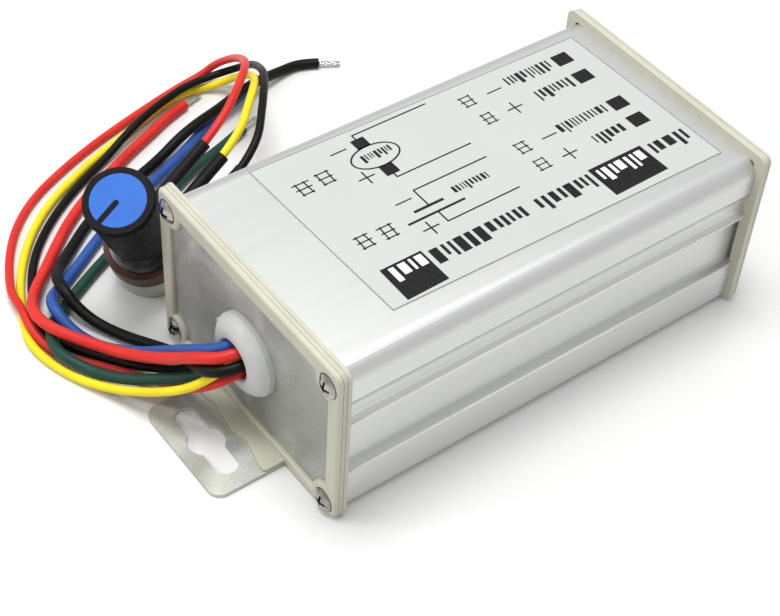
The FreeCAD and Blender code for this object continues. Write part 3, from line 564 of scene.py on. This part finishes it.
def label_print():
    """Black and white print: two panels, rows of marks, signs, a motor and a battery diagram."""
    ink = Print(PRINT_Z)
    ink.quad([(-30.5, -10.9), (-21.05, -10.9), (-21.0, -19.6), (-30.6, -19.8)])
    ink.quad([(19.9, -11.1), (33.6, -11.2), (33.8, -19.5), (20.0, -19.7)])
    for x, y in ((38.6, 18.5), (38.6, 11.8), (38.9, 1.2), (38.9, -4.9)):
        ink.box(x - 2.0, x + 2.0, y - 1.75, y + 1.75)
    bold, plain = 0.2, 0.12
    for x0, x1, y, height, seed, weight in (
            (44.2, 35.0, -14.1, 4.6, "a", bold), (19.0, 4.3, -14.0, 4.4, "b", bold),
            (2.3, -20.2, -13.9, 4.4, "c", bold), (35.2, 23.0, 18.4, 3.6, "d", plain),
            (35.4, 25.9, 11.6, 3.6, "e", plain), (35.6, 23.3, 1.0, 3.6, "f", plain),
            (34.8, 26.0, -5.5, 3.6, "g", plain), (2.7, -6.2, -1.5, 2.6, "h", plain),
            (-8.4, -16.0, 15.3, 2.5, "i", plain)):
        ink.marks(x0, x1, y, height, seed, weight)
    for x, y in ((19.9, 18.1), (20.3, 1.0)):
        ink.minus(x, y, 1.9, 0.32)
    for x, y in ((20.1, 11.6), (20.3, -5.3), (-17.5, 10.9), (-15.6, -7.1)):
        ink.plus(x, y, 1.9, 0.34)
    for x, y in ((-17.9, 19.9), (-15.7, 1.5)):
        ink.minus(x, y, 1.9, 0.32)
    for i, (x, y) in enumerate(((13.1, 18.4), (13.5, 11.9), (13.6, 1.2), (13.6, -4.7))):
        ink.sign(x, y, 3.9, "s%d" % i)
    for i, (x, y) in enumerate(((-24.2, 15.2), (-29.3, 14.9), (-23.0, -3.5), (-28.2, -3.2))):
        ink.sign(x, y, 4.3, "t%d" % i)
    for a, b in (((-12.8, 22.5), (5.5, 22.5)), ((-12.8, 22.6), (-12.8, 21.2)),
                 ((-12.4, 7.9), (5.7, 7.9)), ((-12.4, 7.8), (-12.4, 9.2)),
                 ((-12.2, 3.05), (5.8, 3.05)), ((-12.2, 3.1), (-12.2, -1.7)),
                 ((-11.8, -7.4), (5.7, -7.4)), ((-11.8, -7.5), (-11.8, -4.2))):
        ink.line(a, b, 0.34)
    ink.box(-15.8, -8.8, -2.3, -1.65)
    ink.box(-18.8, -5.2, -4.45, -3.9)
    ink.box(-14.2, -11.1, 18.2, 21.2)
    ink.box(-13.9, -10.8, 9.0, 12.1)
    turn = [(-12.3 + 5.4 * math.cos(2 * math.pi * k / 48),
             15.2 + 3.2 * math.sin(2 * math.pi * k / 48)) for k in range(48)]
    for a, b in zip(turn, turn[1:] + turn[:1]):
        ink.line(a, b, 0.36)
    for a, b in zip(LABEL_CORNERS, LABEL_CORNERS[1:] + LABEL_CORNERS[:1]):
        ink.line(a, b, 0.09)
    ink.build("label_print", INK)
    white = Print(WHITE_Z)
    white.marks(-21.6, -30.0, -13.6, 4.2, "j", 0.18)
    white.marks(32.6, 20.9, -14.2, 4.2, "k", 0.18)
    white.build("label_print_white", PAPER)


# ------------------------------------------------------------------ painted edge highlights and seam
LEDGE_TOPS = [(28.27, 10.48), (28.31, 24.20)]    # y and z of the tray's two ledges, mm
LID_SEAM = [(28.18, 30.05)]
ROD_X = 50.05


def rods(name, rows, radius, mat):
    """Thin straight rods along X on both sides of the case, each given by its y and z."""
    verts, faces = [], []
    around = 10
    for side in (-1, 1):
        for y, z in rows:
            n = len(verts)
            for x in (-ROD_X, ROD_X):
                for k in range(around):
                    a = 2 * math.pi * k / around
                    verts.append((x * MM, (side * y + radius * math.cos(a)) * MM,
                                  (z + radius * math.sin(a)) * MM))
            for k in range(around):
                m = (k + 1) % around
                faces.append((n + k, n + m, n + around + m, n + around + k))
            faces.append(tuple(n + k for k in reversed(range(around))))
            faces.append(tuple(n + around + k for k in range(around)))
    obj = mesh_object(name, verts, faces, mat, True)
    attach(obj, "case")


def edges():
    """Painted highlights along the corners of the side ledges, and the thin shadow where lid and
    tray meet.
    """
    # painted highlight: pale, fairly glossy rods stand in for the light caught along the ledges'
    # corners
    edge_highlight_mat = surface("painted_edge_highlight", (0.90, 0.90, 0.88), (0.95, 0.95, 0.93), rough=(0.25, 0.35),
                     metal=0.1, scale=200.0, bump_mm=0.01)
    shade = surface("seam_shadow", (0.10, 0.10, 0.10), (0.16, 0.16, 0.15), rough=(0.5, 0.6),
                    scale=200.0, bump_mm=0.01)
    # painted highlight rods on both sides of the case
    rods("rib_edge_highlights", LEDGE_TOPS, 0.26, edge_highlight_mat)
    rods("seam_lines", LID_SEAM, 0.10, shade)


lay_leads()
knurl()
label_print()
edges()

# ------------------------------------------------------------------ stage and light
floor = mesh_object("floor", [(-1.5, -1.5, 0), (1.5, -1.5, 0), (1.5, 1.5, 0), (-1.5, 1.5, 0)],
                    [(0, 1, 2, 3)], surface("floor_white", (0.76, 0.76, 0.755), (0.77, 0.77, 0.765),
                                            rough=(0.16, 0.20), scale=3.0, bump_strength=0.0))

world = bpy.data.worlds.new("studio")
world.use_nodes = True
world.node_tree.nodes["Background"].inputs["Color"].default_value = (1.0, 1.0, 1.0, 1.0)
world.node_tree.nodes["Background"].inputs["Strength"].default_value = 0.70
SCENE.world = world
SCENE.view_settings.view_transform = "Standard"
SCENE.view_settings.look = "None"


def area(name, place, target, size, power):
    lamp = bpy.data.lights.new(name, "AREA")
    lamp.shape = "RECTANGLE"
    lamp.size, lamp.size_y = size
    lamp.energy = power
    obj = bpy.data.objects.new(name, lamp)
    SCENE.collection.objects.link(obj)
    obj.location = place
    aim = Vector(target) - Vector(place)
    obj.rotation_euler = aim.to_track_quat("-Z", "Y").to_euler()


area("top_softbox", (-0.05, 0.10, 0.80), (0, 0, 0.02), (0.35, 0.35), 5.0)
area("left_softbox", (-0.55, 0.35, 0.40), (0, 0, 0.02), (0.25, 0.25), 1.0)
